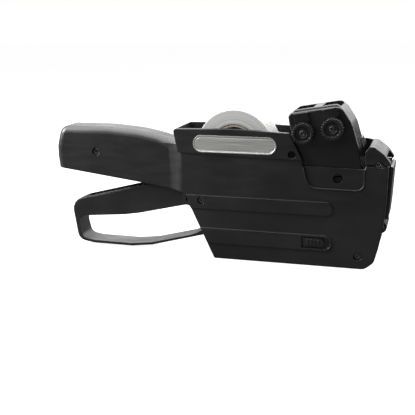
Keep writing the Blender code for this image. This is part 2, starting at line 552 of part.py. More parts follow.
def head_housing(head):
    housing = slab("head_housing", HOUSING, -HEAD_HALF, HEAD_HALF, edge=1.3, both=True)
    join(housing, slab("head_crown", HEAD_CROWN, -13.4, 13.4, edge=1.0, both=True))
    for label, (x, z) in (("rear", REAR_KNOB), ("front", FRONT_KNOB)):
        pad = [(x - 5.2, z + 6.4, 0.8), (x - 5.2, z + 12.9, 0.8), (x + 4.6, z + 12.9, 0.8), (x + 4.6, z + 6.4, 0.8)]
        join(housing, slab(f"{label}_pad", pad, -HEAD_HALF + 1, -HEAD_HALF - 1.1, edge=0.4, steps=2))
    cavity = [(13.0, 90.7, 1.5), (46.4, 90.1, 5), (51.2, 79, 12), (53.2, 62, 20), (53.2, 40), (16.0, 40), (15.5, 61, 8),
              (13.1, 85, 8)]
    cut(housing, slab("head_hollow", cavity, -HEAD_HALF + 1.5, HEAD_HALF - 1.5),
        box("rear_window", (16, -10.5, 85), (28.6, 10.5, 99)), box("front_window", (34.4, -10.5, 84), (46.4, 10.5, 99)))
    for label, centre in (("rear", REAR_KNOB), ("front", FRONT_KNOB)):
        cut(housing, lathe(f"{label}_shaft_hole", centre, [(-25, 1.9 + GAP), (-8, 1.9 + GAP)], 20))
    hang(head, finish(housing, "casing"))


def band_corners(label):
    """The loop of a printing band: round its wheel at the knob's height and flat at the printing line."""
    (x, z), foot = (REAR_KNOB, REAR_FOOT) if label == "rear" else (FRONT_KNOB, FRONT_FOOT)
    top, half = BAND_WHEEL_RADIUS, FOOT_HALF
    lean = top * (foot - x) / (z - TYPE_FACE)
    return [(x - top - lean, z + top, top - 0.05), (x + top - lean, z + top, top - 0.05),
            (foot + half, TYPE_FACE, 2.2), (foot - half, TYPE_FACE, 2.2)]


def digit_bands(head, label, centre):
    """Ten printing bands side by side round a wheel and the type bar, joined where they touch at their base."""
    groove, depth = 0.35, 0.45
    start = -BAND_COUNT * BAND_PITCH / 2
    stations = []
    for k in range(BAND_COUNT):
        low, high = start + k * BAND_PITCH, start + (k + 1) * BAND_PITCH
        stations += [(low + (groove / 2 if k else 0), 0.0), (high - (groove / 2 if k < BAND_COUNT - 1 else 0), 0.0)]
        if k < BAND_COUNT - 1:
            stations += [(high - groove / 2, depth), (high + groove / 2, depth)]
    stations += [(-start, BAND_THICKNESS), (start, BAND_THICKNESS)]
    rings = [across(rounded(band_corners(label), inset, facet=32), y) for y, inset in stations]
    bands = skin(label + "_digit_bands", rings, closed=True)
    drive = sleeve(label + "_band_wheel", centre, BAND_WHEEL_RADIUS - BAND_THICKNESS - 2 * GAP, 1.9 + GAP, -11.0, 11.0, 20)
    hang(head, finish(bands, "type_rubber"), finish(drive, "inner_plastic"))


def type_anvil(head):
    """The bar that backs the bands at the printing line, with ears that bolt to the arm."""
    blocks = []
    for label in ("rear", "front"):
        top_left, top_right, low_right, low_left = (Vector(corner[:2]) for corner in band_corners(label))
        share = (ANVIL_TOP - low_left.y) / (top_left.y - low_left.y)
        shape = [(*low_left.lerp(top_left, share), 2), (*low_right.lerp(top_right, share), 2), (*low_right, 2.2),
                 (*low_left, 2.2)]
        inner = rounded(shape, BAND_THICKNESS + GAP)
        blocks.append(skin(f"anvil_{label}", [across(inner, y) for y in (-11.9, 11.9)]))
    anvil = join(blocks[0], blocks[1])
    anvil.name = "type_anvil"
    for side in (-1, 1):
        join(anvil, slab(f"anvil_side_{side}", [(23, 44), (41, 44), (41, 60), (23, 60)], side * 11.3, side * 12.4),
             slab(f"anvil_ear_{side}", [(28, 41.2), (35, 41.2), (35, 47), (28, 47)], side * 11.6, side * 13.2))
    hang(head, finish(anvil, "inner_plastic"))


def selector(head, label, centre):
    """A shaft that pulls out to pick a digit column, with the knob that turns on its end."""
    spin = pivot(label + "_selector_pivot", centre, parent=head)
    shaft = lathe(label + "_selector_shaft", centre, [(-16.9, 1.9), (11.6, 1.9)], 20)
    near, far = -17.2, -22.8
    grip = skin(label + "_selector_knob", [across(toothed(centre, radius, radius - 0.55, KNOB_TEETH), y) for y, radius in
                                           ((near, KNOB_RADIUS - 0.5), (near - 0.5, KNOB_RADIUS),
                                            (far + 0.6, KNOB_RADIUS), (far, KNOB_RADIUS - 0.6))])
    cut(grip, lathe(label + "_dish", centre, [(far + 1.3, 4.4), (far + 1.0, 4.9), (far - 1, 4.9)], 28),
        lathe(label + "_knob_bore", centre, [(-15, 1.0 + GAP), (-30, 1.0 + GAP)], 16))
    screw = lathe(label + "_knob_screw", centre, [(near - 0.3, 1.0), (far + 1.0, 1.0), (far + 1.0, 2.4), (far + 0.4, 2.4),
                                                  (far + 0.1, 1.8)], 20)
    x, z = centre
    bar = [(x - 1.6, z - 0.35), (x + 1.6, z - 0.35), (x + 1.6, z + 0.35), (x - 1.6, z + 0.35)]
    cut(screw, slab(label + "_knob_screw_slot", [turned(spot, 30, centre) for spot in bar], far + 0.45, -30))
    hang(spin, finish(shaft, "steel"), finish(grip, "lever"), finish(screw, "steel"))


def print_head():
    head = pivot("head_pivot", HEAD_PIVOT, tilt=-HEAD_STROKE)
    print_arm(head)
    head_housing(head)
    type_anvil(head)
    for label, centre in (("rear", REAR_KNOB), ("front", FRONT_KNOB)):
        digit_bands(head, label, centre)
        selector(head, label, centre)


def ink_arm():
    axis = pivot("ink_arm_pivot", INK_PIVOT)
    (x0, z0), (x1, z1) = INK_PIVOT, INK_ROLLER
    run = Vector((x1 - x0, z1 - z0)).normalized()
    wide = run.orthogonal() * 2.6
    corners = [(*(Vector(end) + run * reach + wide * side), 2.5)
               for end, reach, side in ((INK_PIVOT, -3, 1), (INK_PIVOT, -3, -1), (INK_ROLLER, 2.6, -1), (INK_ROLLER, 2.6, 1))]
    arm = slab("ink_arm", corners, -13.2, -12.0)
    join(arm, lathe("ink_arm_tube", INK_PIVOT, [(-12.8, 2.8), (12.8, 2.8)], 20), slab("ink_arm_far", corners, 12.0, 13.2))
    cut(arm, lathe("ink_arm_bore", INK_PIVOT, [(-30, 1.5 + GAP), (30, 1.5 + GAP)], 20),
        lathe("ink_core_bore", INK_ROLLER, [(-30, 1.2 + GAP), (30, 1.2 + GAP)], 16))
    hang(axis, finish(arm, "inner_plastic"))

    spin = pivot("ink_roller_pivot", INK_ROLLER, parent=axis)
    roller = sleeve("ink_roller", INK_ROLLER, 4.5, 1.2 + GAP, -11.4, 11.4, 28)
    core = lathe("ink_core", INK_ROLLER, [(-13.4, 1.2), (13.4, 1.2)], 16)
    hang(spin, finish(roller, "ink_foam"), finish(core, "steel"))


def feed():
    spin = pivot("feed_pivot", FEED_CENTRE)
    wheel = skin("feed_wheel", [across(toothed(FEED_CENTRE, FEED_RADIUS, FEED_RADIUS - 0.8, 16), y) for y in (-8.4, 8.4)])
    ratchet = skin("feed_ratchet", [across(toothed(FEED_CENTRE, 8.2, 6.9, 12, slant=0.25), y) for y in (8.75, 10.7)])
    for piece, low, high in ((wheel, -20, 20), (ratchet, 5, 20)):
        cut(piece, lathe(piece.name + "_bore", FEED_CENTRE, [(low, 1.6 + GAP), (high, 1.6 + GAP)], 20))
    hang(spin, finish(wheel, "roller_rubber"), finish(ratchet, "steel"))

    rock = pivot("feed_lever_pivot", FEED_CENTRE)
    x, z = FEED_CENTRE
    shape = [(x - 4, z - 3.6, 3.5), (x + 4, z - 3.6, 3.5), (x + 3.6, z + 3.8, 3.5), (x - 12, z + 10.4, 2), (x - 15.4, z + 9, 2),
             (x - 14, z + 5.6, 2)]
    lever = slab("feed_lever", shape, 13.3, 14.9)
    pawl = [(x - 9.3, z - 0.5), (x - 9.3, z + 2.4), (x - 8.6, z + 2.4), (x - 8.6, z - 0.5)]
    join(lever, slab("feed_pawl", pawl, 9.0, 13.8))
    cut(lever, lathe("feed_lever_bore", FEED_CENTRE, [(11, 1.6 + GAP), (20, 1.6 + GAP)], 20))
    hang(rock, finish(lever, "steel"))


def label_exit():
    platen = [(8, PLATEN_TOP, 0.6), (57, PLATEN_TOP, 1.5), (61.2, 36.3, 0.4), (60.9, 35.5, 0.3), (56, 35.2, 2),
              (8, 35.2, 0.6)]
    finish(slab("platen", platen, -INNER_HALF + GAP, INNER_HALF - GAP), "inner_plastic")
    spin = pivot("applicator_pivot", APPLICATOR)
    roller = sleeve("applicator_roller", APPLICATOR, APPLICATOR_RADIUS, 1.2 + GAP, -12.2, 12.2, 28)
    hang(spin, finish(roller, "roller_rubber"))


def main():
    for piece in list(bpy.data.objects):
        bpy.data.objects.remove(piece)
    casing()
    gate()
    screws()
    axles()
    label_supply()
    trigger()
    print_head()
    ink_arm()
    feed()
    label_exit()


main()
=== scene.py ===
# %% [markdown]
# # A hand price labeller
# The tool prints two lines of digits on a small label and lays it down: the hand squeezes a lever, a
# swinging head presses its bands on the paper, and a wheel feeds the next label.
# The engineering model already holds every part at its real size. This lesson gives it finishes, rebuilds
# the parts that the eye rests on, and lights it like a catalogue picture.
# All lengths are metres in the scene. The helper MM lets us write them as the maker would, in millimetres.

# %% Load the engineering model
import json
import math

import bpy
from mathutils import Matrix, Vector

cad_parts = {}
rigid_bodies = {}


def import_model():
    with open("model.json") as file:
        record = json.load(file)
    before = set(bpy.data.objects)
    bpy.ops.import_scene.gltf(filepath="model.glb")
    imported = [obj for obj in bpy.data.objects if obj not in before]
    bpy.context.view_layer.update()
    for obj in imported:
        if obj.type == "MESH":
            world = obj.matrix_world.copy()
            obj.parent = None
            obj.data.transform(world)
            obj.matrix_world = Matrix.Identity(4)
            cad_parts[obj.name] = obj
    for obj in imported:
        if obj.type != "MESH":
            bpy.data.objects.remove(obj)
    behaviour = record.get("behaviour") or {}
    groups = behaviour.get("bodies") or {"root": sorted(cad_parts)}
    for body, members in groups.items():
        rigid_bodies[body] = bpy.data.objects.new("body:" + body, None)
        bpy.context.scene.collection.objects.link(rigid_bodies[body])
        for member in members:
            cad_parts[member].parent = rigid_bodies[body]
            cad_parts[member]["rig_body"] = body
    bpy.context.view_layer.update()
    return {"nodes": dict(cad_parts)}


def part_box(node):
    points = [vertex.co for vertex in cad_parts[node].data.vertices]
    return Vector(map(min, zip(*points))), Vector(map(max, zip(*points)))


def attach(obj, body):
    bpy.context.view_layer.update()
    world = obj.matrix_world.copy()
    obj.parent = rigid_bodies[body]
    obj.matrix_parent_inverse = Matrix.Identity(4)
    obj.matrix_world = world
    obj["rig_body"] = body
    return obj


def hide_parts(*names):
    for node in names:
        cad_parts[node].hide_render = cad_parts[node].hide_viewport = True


MM = 0.001
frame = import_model()
nodes = frame["nodes"]

# %% [markdown]
# ## The camera
# A catalogue shot of a tool like this is taken from a little above and a little towards the nose, with a
# long lens so that the side stays nearly square. An empty scene has no camera, so we add one and aim it
# with plain angles.

# %% Place the camera
CAMERA_PLACE = (0.0972, -0.533, 0.1684)
CAMERA_TURN = (76.17, 0.45, 16.08)
bpy.ops.object.camera_add(location=CAMERA_PLACE, rotation=[math.radians(a) for a in CAMERA_TURN])
camera = bpy.context.object
camera.name = "catalogue_camera"
camera.data.sensor_width = 36.0
camera.data.lens = 69.4
camera.data.clip_start = 0.02
bpy.context.scene.camera = camera
print("camera is", round(Vector(CAMERA_PLACE).length, 3), "m from the middle of the base")

# %% [markdown]
# ## Table and background
# The tool stands on a white studio table that runs out of sight. A single disc is enough, if it is large
# and the background has the same white. Its edge is bevelled down so that it has a real thickness.

# %% Make the studio table
TABLE_RADIUS, TABLE_THICKNESS = 4.0, 0.02
TABLE_GAP = 0.2 * MM
bpy.ops.object.select_all(action="DESELECT")
bpy.ops.mesh.primitive_cylinder_add(vertices=96, radius=TABLE_RADIUS, depth=TABLE_THICKNESS,
                                    location=(0, 0, -TABLE_THICKNESS / 2 - TABLE_GAP))
table = bpy.context.object
table.name = "studio_table"
bpy.ops.object.mode_set(mode="EDIT")
bpy.ops.mesh.select_all(action="SELECT")
bpy.ops.mesh.bevel(offset=0.004, segments=2)
bpy.ops.object.mode_set(mode="OBJECT")
bpy.ops.object.transform_apply(location=True, rotation=True, scale=True)
print("table top at", round(max(v.co.z for v in table.data.vertices), 5), "m")

# %% [markdown]
# A lit white table would mirror in the black plastic and turn it grey. A photographer keeps it out with
# black cards. Here a Light Path node does the same: the eye sees a glowing white top, and every other ray,
# such as a reflection or a bounce, meets a darker one. This is allowed on the set only, never on the tool.

# %% Paint the table
def split_for_eye(tree, for_eye, for_rest):
    """Shows one shader to the camera and another to every other ray."""
    path, either = tree.nodes.new("ShaderNodeLightPath"), tree.nodes.new("ShaderNodeMixShader")
    tree.links.new(path.outputs["Is Camera Ray"], either.inputs["Fac"])
    tree.links.new(for_rest, either.inputs[1])
    tree.links.new(for_eye, either.inputs[2])
    return either.outputs[0]


paint = bpy.data.materials.new("table_paint")
paint.use_nodes = True
tree = paint.node_tree
tree.nodes.remove(tree.nodes["Principled BSDF"])
glow = tree.nodes.new("ShaderNodeEmission")
pale, dim = (tree.nodes.new("ShaderNodeBsdfDiffuse") for _ in range(2))
glow.inputs["Strength"].default_value = 0.97
pale.inputs["Color"].default_value = (0.2, 0.2, 0.2, 1.0)
dim.inputs["Color"].default_value = (0.09, 0.09, 0.09, 1.0)
both = tree.nodes.new("ShaderNodeAddShader")
tree.links.new(glow.outputs[0], both.inputs[0])
tree.links.new(pale.outputs[0], both.inputs[1])
table_skin = split_for_eye(tree, both.outputs[0], dim.outputs[0])
tree.links.new(table_skin, tree.nodes["Material Output"].inputs["Surface"])
table.data.materials.append(paint)
print("table glow", glow.inputs["Strength"].default_value)

# %% [markdown]
# ## Light
# Black satin plastic hardly shows its own colour: the eye reads it by what it mirrors. So the large soft
# lights are placed for the bright streaks that they draw. A level face seen at a shallow angle mirrors what
# stands low behind the tool, so one softbox is a glowing backdrop: it brings out the rims, the top of the
# head and the inside of the finger loop. A wide, dim one hangs above for the crown of the handle: a small,
# strong one would turn the black plastic silver from above. Two more stand beyond the nose and the handle.
# What faces the camera mirrors only a weak light, and stays near black.

# %% Hang the softboxes
def softbox(name, place, aim, width, height, watts):
    """A rectangular area light that points from its place to its aim."""
    bpy.ops.object.light_add(type="AREA", location=place)
    light = bpy.context.object
    light.name = name
    light.data.shape = "RECTANGLE"
    light.data.size, light.data.size_y = width, height
    light.data.energy = watts
    light.rotation_euler = (Vector(aim) - Vector(place)).to_track_quat("-Z", "Y").to_euler()
    return light


TOOL_MIDDLE = (-0.02, 0.0, 0.05)
SOFTBOXES = {  # place, width, height, watts
    "overhead_softbox": ((-0.06, 0.10, 0.60), 1.1, 0.8, 15.0),
    "backdrop_softbox": ((-0.05, 0.80, 0.37), 1.3, 0.5, 4.2),
    "nose_softbox": ((0.62, 0.28, 0.25), 0.4, 0.5, 3.5),
    "handle_softbox": ((-0.62, -0.14, 0.36), 0.3, 0.4, 12.0),
    "camera_fill": ((-0.35, -0.85, 0.55), 0.6, 0.5, 0.9),
}
for name, (place, width, height, watts) in SOFTBOXES.items():
    softbox(name, place, TOOL_MIDDLE, width, height, watts)
print(len(SOFTBOXES), "softboxes hung")

# %% [markdown]
# The background is white where the camera sees it, and weaker as a light, so that it doesn't wash out
# the blacks. The same split as on the table tells the two apart. The plain Standard view keeps white paper white.

# %% Paint the background
world = bpy.data.worlds.new("studio_background")
bpy.context.scene.world = world
world.use_nodes = True
tree = world.node_tree
seen, lit = tree.nodes["Background"], tree.nodes.new("ShaderNodeBackground")
seen.inputs["Color"].default_value = (1.0, 1.0, 1.0, 1.0)
seen.inputs["Strength"].default_value = 1.0
lit.inputs["Color"].default_value = (0.96, 0.98, 1.0, 1.0)
lit.inputs["Strength"].default_value = 0.085
sky = split_for_eye(tree, seen.outputs[0], lit.outputs[0])
tree.links.new(sky, tree.nodes["World Output"].inputs["Surface"])
bpy.context.scene.view_settings.view_transform = "Standard"
print("background strength", seen.inputs["Strength"].default_value, "seen,",
      lit.inputs["Strength"].default_value, "as light")

# %% [markdown]
# ## Finishes
# Every finish is a Principled shader fed by a few procedural textures. Three things make a surface look
# real from close by: its colour drifts a little, its gloss is uneven, and its skin has a fine relief.
# All patterns read Object coordinates. Each piece keeps its origin at the world's, so a pattern has its
# size in real metres and sits still when a part moves.

# %% Start a finish
def begin_finish(name, colour, roughness, metallic=0.0, specular=0.5):
    """A new material with its shader and its texture coordinates, and the even values set on the shader."""
    material = bpy.data.materials.new(name)
    material.use_nodes = True
    tree = material.node_tree
    shader = tree.nodes["Principled BSDF"]
    shader.inputs["Base Color"].default_value = (*colour, 1.0)
    shader.inputs["Roughness"].default_value = roughness
    shader.inputs["Metallic"].default_value = metallic
    shader.inputs["Specular IOR Level"].default_value = specular
    where = tree.nodes.new("ShaderNodeTexCoord")
    material.diffuse_color = (*colour, 1.0)
    return material, tree, shader, where.outputs["Object"]


def grain(tree, where, size, detail=3.0, stretch=(1.0, 1.0, 1.0)):
    """Noise whose blotches are about size metres across, stretched along an axis if asked."""
    place = tree.nodes.new("ShaderNodeMapping")
    place.inputs["Scale"].default_value = stretch
    noise = tree.nodes.new("ShaderNodeTexNoise")
    noise.inputs["Scale"].default_value = 0.5 / size
    noise.inputs["Detail"].default_value = detail
    tree.links.new(where, place.inputs["Vector"])
    tree.links.new(place.outputs["Vector"], noise.inputs["Vector"])
    return noise.outputs["Fac"]


# %% Blend values and colours by a pattern
def between(tree, factor, low, high, start=0.35, end=0.65):
    """A number that goes from low to high as the pattern goes from start to end."""
    span = tree.nodes.new("ShaderNodeMapRange")
    for label, value in zip(("From Min", "From Max", "To Min", "To Max"), (start, end, low, high)):
        span.inputs[label].default_value = value
    tree.links.new(factor, span.inputs["Value"])
    return span.outputs["Result"]


def tint(tree, factor, dark, light, start=0.35, end=0.65):
    """A colour ramp from dark to light over the pattern."""
    ramp = tree.nodes.new("ShaderNodeValToRGB")
    ramp.color_ramp.elements[0].position, ramp.color_ramp.elements[0].color = start, (*dark, 1.0)
    ramp.color_ramp.elements[1].position, ramp.color_ramp.elements[1].color = end, (*light, 1.0)
    tree.links.new(factor, ramp.inputs["Fac"])
    return ramp.outputs["Color"]


def relief(tree, shader, height, depth, strength=1.0, edge=0.0):
    """Bump from a pattern, depth in metres; edge rounds sharp corners in the shading by that radius."""
    bump = tree.nodes.new("ShaderNodeBump")
    bump.inputs["Strength"].default_value = strength
    bump.inputs["Distance"].default_value = depth
    tree.links.new(height, bump.inputs["Height"])
    if edge:
        soft = tree.nodes.new("ShaderNodeBevel")
        soft.samples = 4
        soft.inputs["Radius"].default_value = edge
        tree.links.new(soft.outputs["Normal"], bump.inputs["Normal"])
    tree.links.new(bump.outputs["Normal"], shader.inputs["Normal"])


print("three pattern helpers ready")

# %% [markdown]
# ### Moulded plastic
# The casing and the lever are injection-moulded in a tough black plastic. The tool steel of the mould is
# spark-eroded, which leaves a very fine satin grain, and the plastic flows, which leaves slow waves in the
# gloss. Handling polishes some places and leaves faint hairlines. Two noises of very different size give
# the grain and the waves, and a third, stretched along the body, gives the hairlines.

# %% Mix the black plastics
def moulded(name, colour, roughness, specular, grain_depth=0.00002):
    material, tree, shader, where = begin_finish(name, colour, roughness, specular=specular)
    drift = grain(tree, where, 0.018, 4.0)
    worn = [min(1.0, c * 1.5 + 0.002) for c in colour]
    tree.links.new(tint(tree, drift, [c * 0.8 for c in colour], worn), shader.inputs["Base Color"])
    rubbed = grain(tree, where, 0.0035, 6.0, stretch=(0.35, 1.0, 1.6))
    uneven = between(tree, rubbed, roughness - 0.07, roughness + 0.09, 0.3, 0.7)
    tree.links.new(uneven, shader.inputs["Roughness"])
    fine = grain(tree, where, 0.00022, 2.0)
    relief(tree, shader, fine, grain_depth, 0.5, edge=0.0003)
    return material


casing_plastic = moulded("satin_black_casing", (0.0065, 0.0065, 0.007), 0.36, 0.5)
lever_plastic = moulded("satin_black_lever", (0.0065, 0.0065, 0.007), 0.36, 0.5)
head_plastic = moulded("satin_black_head", (0.005, 0.005, 0.0055), 0.33, 0.45)
inner_plastic = moulded("dark_inner_plastic", (0.014, 0.014, 0.0145), 0.5, 0.35, 0.00003)
print("plastics:", casing_plastic.name, lever_plastic.name, head_plastic.name, inner_plastic.name)

# %% [markdown]
# ### Metal
# The name plate is brushed aluminium, the screws are steel with a dark zinc finish, the axles are ground
# bright, and the frame of the print head is blackened. Brushing leaves lines that run one way, so the noise is
# stretched about eighty times along X, and the lines change both the gloss and the relief.

# %% Mix the metals
def brushed(name, colour, roughness, stretch=(0.012, 1.0, 1.0), size=0.00012):
    material, tree, shader, where = begin_finish(name, colour, roughness, metallic=1.0)
    lines = grain(tree, where, size, 2.0, stretch=stretch)
    darker = [c * 0.82 for c in colour]
    tree.links.new(tint(tree, lines, darker, colour, 0.3, 0.7), shader.inputs["Base Color"])
    tree.links.new(between(tree, lines, roughness - 0.06, roughness + 0.12, 0.3, 0.7), shader.inputs["Roughness"])
    relief(tree, shader, lines, 0.00001, 0.3, edge=0.00012)
    return material


plate_metal = brushed("brushed_aluminium", (0.62, 0.62, 0.61), 0.45)
screw_steel = brushed("dark_zinc_steel", (0.12, 0.12, 0.125), 0.3, (1.0, 1.0, 1.0), 0.0004)
bright_steel = brushed("ground_steel", (0.52, 0.52, 0.53), 0.28, (1.0, 0.03, 1.0), 0.0002)
dark_steel = brushed("blackened_steel", (0.035, 0.035, 0.037), 0.4, (1.0, 1.0, 1.0), 0.0004)
print("metals:", plate_metal.name, screw_steel.name, bright_steel.name, dark_steel.name)

# %% [markdown]
# ### Paper, card, rubber and foam
# The label roll is a long strip of backing paper that carries glossy labels, so its flat side shows hundreds
# of thin rings, one for each layer. A Mapping node moves the pattern's middle to the roll's, the length of
# the vector is then the distance from the roll's axis, and a noise read along that distance gives rings
# that are never quite even.

# %% Mix the paper and the card
ROLL_MIDDLE = (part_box("roll_core")[0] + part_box("roll_core")[1]) / 2


def layered(name, dark, light, layer, roughness):
    """Paper seen on edge: irregular rings, about layer metres apart, round the middle of the roll."""
    material, tree, shader, where = begin_finish(name, light, roughness, specular=0.3)
    flat = tree.nodes.new("ShaderNodeMapping")
    flat.inputs["Location"].default_value = (-ROLL_MIDDLE.x, 0.0, -ROLL_MIDDLE.z)
    flat.inputs["Scale"].default_value = (1.0, 0.0, 1.0)
    radius = tree.nodes.new("ShaderNodeVectorMath")
    radius.operation = "LENGTH"
    rings = tree.nodes.new("ShaderNodeTexNoise")
    rings.noise_dimensions = "1D"
    rings.inputs["Scale"].default_value = 1.0 / layer
    rings.inputs["Detail"].default_value = 3.0
    tree.links.new(where, flat.inputs["Vector"])
    tree.links.new(flat.outputs["Vector"], radius.inputs[0])
    tree.links.new(radius.outputs["Value"], rings.inputs["W"])
    tree.links.new(tint(tree, rings.outputs["Fac"], dark, light, 0.35, 0.6), shader.inputs["Base Color"])
    tree.links.new(between(tree, grain(tree, where, 0.004), roughness - 0.1, roughness + 0.1),
                   shader.inputs["Roughness"])
    relief(tree, shader, rings.outputs["Fac"], 0.00003, 0.5)
    return material


roll_paper = layered("label_paper", (0.38, 0.38, 0.375), (0.52, 0.52, 0.515), 0.0012, 0.55)
core_card = layered("core_card", (0.24, 0.2, 0.16), (0.36, 0.31, 0.25), 0.0006, 0.85)
print("roll middle in mm:", [round(v / MM, 2) for v in ROLL_MIDDLE])


# %% Mix the rubber and the foam
def matt(name, dark, light, roughness, pore, depth):
    """A dull open surface: its pores change the colour, the gloss and the relief together."""
    material, tree, shader, where = begin_finish(name, light, roughness, specular=0.25)
    pores = grain(tree, where, pore, 4.0)
    tree.links.new(tint(tree, pores, dark, light, 0.38, 0.6), shader.inputs["Base Color"])
    tree.links.new(between(tree, pores, roughness + 0.1, roughness - 0.1), shader.inputs["Roughness"])
    relief(tree, shader, pores, depth, 0.8)
    return material


type_rubber = matt("band_rubber", (0.018, 0.018, 0.02), (0.045, 0.045, 0.048), 0.62, 0.0008, 0.00003)
roller_rubber = matt("roller_rubber", (0.03, 0.03, 0.03), (0.07, 0.07, 0.07), 0.7, 0.0006, 0.00004)
ink_foam = matt("inked_foam", (0.006, 0.005, 0.02), (0.04, 0.035, 0.09), 0.8, 0.0005, 0.00015)
print("dull finishes:", type_rubber.name, roller_rubber.name, ink_foam.name)

# %% [markdown]
# ## Fairing the engineering parts
# The engineering mesh is exact but coarse: loose triangles with creases where curves were cut into flats.
# Where its shape is right we keep it, but as a fair copy: the triangles are merged, flats become single
# faces, and the normals are weighted by face area, so that flats stay flat and only the roundings turn.
# The copy rides on the same body and stands in for the part.

# %% Make the fair copies
def leave_alone():
    if bpy.context.object and bpy.context.object.mode != "OBJECT":
        bpy.ops.object.mode_set(mode="OBJECT")
    bpy.ops.object.select_all(action="DESELECT")


def take_up(piece):
    """Selects one piece alone, so that an operator acts on nothing else."""
    leave_alone()
    piece.select_set(True)
    bpy.context.view_layer.objects.active = piece
    return piece


def fair(piece, crease=35.0):
    """Smooth shading that keeps creases and leaves flats flat."""
    take_up(piece)
    bpy.ops.object.shade_smooth_by_angle(angle=math.radians(crease))
    weigh = piece.modifiers.new("weigh_normals", "WEIGHTED_NORMAL")
    weigh.keep_sharp = True
    weigh.weight = 100
    bpy.ops.object.modifier_apply(modifier=weigh.name)
    return piece


def dress(piece, finish, slot, body, *stands_for):
    """Gives a finished piece its finish, its body and the parts that it stands for."""
    piece.data.materials.clear()
    piece.data.materials.append(finish)
    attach(piece, body)
    if stands_for:
        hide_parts(*stands_for)
    return piece


def fair_copy(name, finish, slot, crease=35.0):
    source = nodes[name]
    piece = bpy.data.objects.new(name + "_fair", source.data.copy())
    bpy.context.scene.collection.objects.link(piece)
    take_up(piece)
    bpy.ops.object.mode_set(mode="EDIT")
    bpy.ops.mesh.select_all(action="SELECT")
    bpy.ops.mesh.customdata_custom_splitnormals_clear()
    bpy.ops.mesh.remove_doubles(threshold=0.000002)
    bpy.ops.mesh.dissolve_limited(angle_limit=math.radians(0.4))
    bpy.ops.object.mode_set(mode="OBJECT")
    fair(piece, crease)
    return dress(piece, finish, slot, source["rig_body"], name)


FAIRED = {
    ("right_shell", "left_shell", "nose_cap", "front_plate", "base_gate", "gate_latch"):
        (casing_plastic, "casing"),
    ("trigger",): (lever_plastic, "lever"),
    ("head_housing",): (head_plastic, "casing"),
    ("roll_cradle", "roll_hub", "platen", "type_anvil", "rear_band_wheel", "front_band_wheel", "ink_arm"):
        (inner_plastic, "inner_plastic"),
    ("rear_digit_bands", "front_digit_bands"): (type_rubber, "type_rubber"),
    ("ink_roller",): (ink_foam, "ink_foam"),
    ("feed_wheel", "applicator_roller"): (roller_rubber, "roller_rubber"),
    ("print_arm",): (dark_steel, "steel"),
    ("drive_pin", "feed_lever", "feed_ratchet", "trigger_spring", "ink_core", "trigger_axle",
     "ink_arm_axle", "feed_axle", "gate_axle", "applicator_axle", "head_pin_right", "head_pin_left",
     "rear_selector_shaft", "front_selector_shaft"): (bright_steel, "steel"),
    ("roll_core",): (core_card, "card"),
    ("label_web",): (roll_paper, "paper"),
}
fairs = {name: fair_copy(name, *finish) for names, finish in FAIRED.items() for name in names}
print(len(fairs), "fair copies,", sum(len(p.data.polygons) for p in fairs.values()), "faces")

# %% [markdown]
# ## Screws
# Five pan-head screws with a cross recess hold the casing together. A screw head is a low dome, so it starts as a
# cylinder whose face is inset and pushed out in two steps, and the cross is cut with two
# tapered bars. One screw is modelled at the origin, facing -Y, and every other one is a copy of it, each
# with its own mesh, turned a little as real screws are.

# %% Model one pan-head screw
def face_towards(piece, direction, reach=0.0):
    """In edit mode, selects only the faces that look along a direction and lie furthest along it."""
    bpy.ops.mesh.select_all(action="DESELECT")
    bpy.ops.mesh.select_mode(type="FACE")
    bpy.ops.object.mode_set(mode="OBJECT")
    direction = Vector(direction)
    far = max(v.co.dot(direction) for v in piece.data.vertices) - reach - 1e-5
    for face in piece.data.polygons:
        face.select = face.normal.dot(direction) > 0.9 and face.center.dot(direction) > far
    bpy.ops.object.mode_set(mode="EDIT")


def new_piece(name):
    """Takes the primitive just added as a named piece in edit mode, its place in its mesh."""
    piece = bpy.context.object
    piece.name = name
    bpy.ops.object.transform_apply(location=True, rotation=True, scale=True)
    bpy.ops.object.mode_set(mode="EDIT")
    return piece


def turned_primitive(name, radius, depth, middle, sides):
    """A cylinder along Y to start a turned piece from."""
    leave_alone()
    bpy.ops.mesh.primitive_cylinder_add(vertices=sides, radius=radius, depth=depth, location=middle,
                                        rotation=(math.radians(90), 0, 0))
    return new_piece(name)


def step_face(piece, inwards, outwards):
    """Insets the front face and pushes it out (or in, if negative) along -Y."""
    bpy.ops.mesh.inset(thickness=inwards, depth=0)
    bpy.ops.transform.translate(value=(0, -outwards, 0))


def carve(piece, tool, operation="DIFFERENCE"):
    """Cuts the tool out of the piece, or joins it on, and throws the tool away."""
    take_up(piece)
    cutting = piece.modifiers.new("cut", "BOOLEAN")
    cutting.operation, cutting.solver, cutting.object = operation, "EXACT", tool
    bpy.ops.object.modifier_apply(modifier=cutting.name)
    bpy.data.objects.remove(tool)


def pan_head(name, radius, thickness):
    screw = turned_primitive(name, radius, thickness, (0, thickness / 2, 0), 32)
    face_towards(screw, (0, -1, 0))
    step_face(screw, radius * 0.12, thickness * 0.18)
    step_face(screw, radius * 0.2, thickness * 0.12)
    step_face(screw, radius * 0.3, thickness * 0.05)
    bpy.ops.object.mode_set(mode="OBJECT")
    for quarter in (0, 90):
        bpy.ops.object.select_all(action="DESELECT")
        bpy.ops.mesh.primitive_cube_add(size=1, location=(0, -thickness * 0.1, 0))
        bar = new_piece("bar")
        bpy.ops.transform.resize(value=(radius * 1.25, thickness * 1.1, radius * 0.26))
        face_towards(bar, (0, 1, 0))
        bpy.ops.transform.resize(value=(0.6, 1, 0.6))
        bpy.ops.mesh.select_all(action="SELECT")
        bpy.ops.transform.rotate(value=math.radians(quarter), orient_axis="Y", center_override=(0, 0, 0))
        bpy.ops.object.mode_set(mode="OBJECT")
        carve(screw, bar)
    return fair(screw, 30)


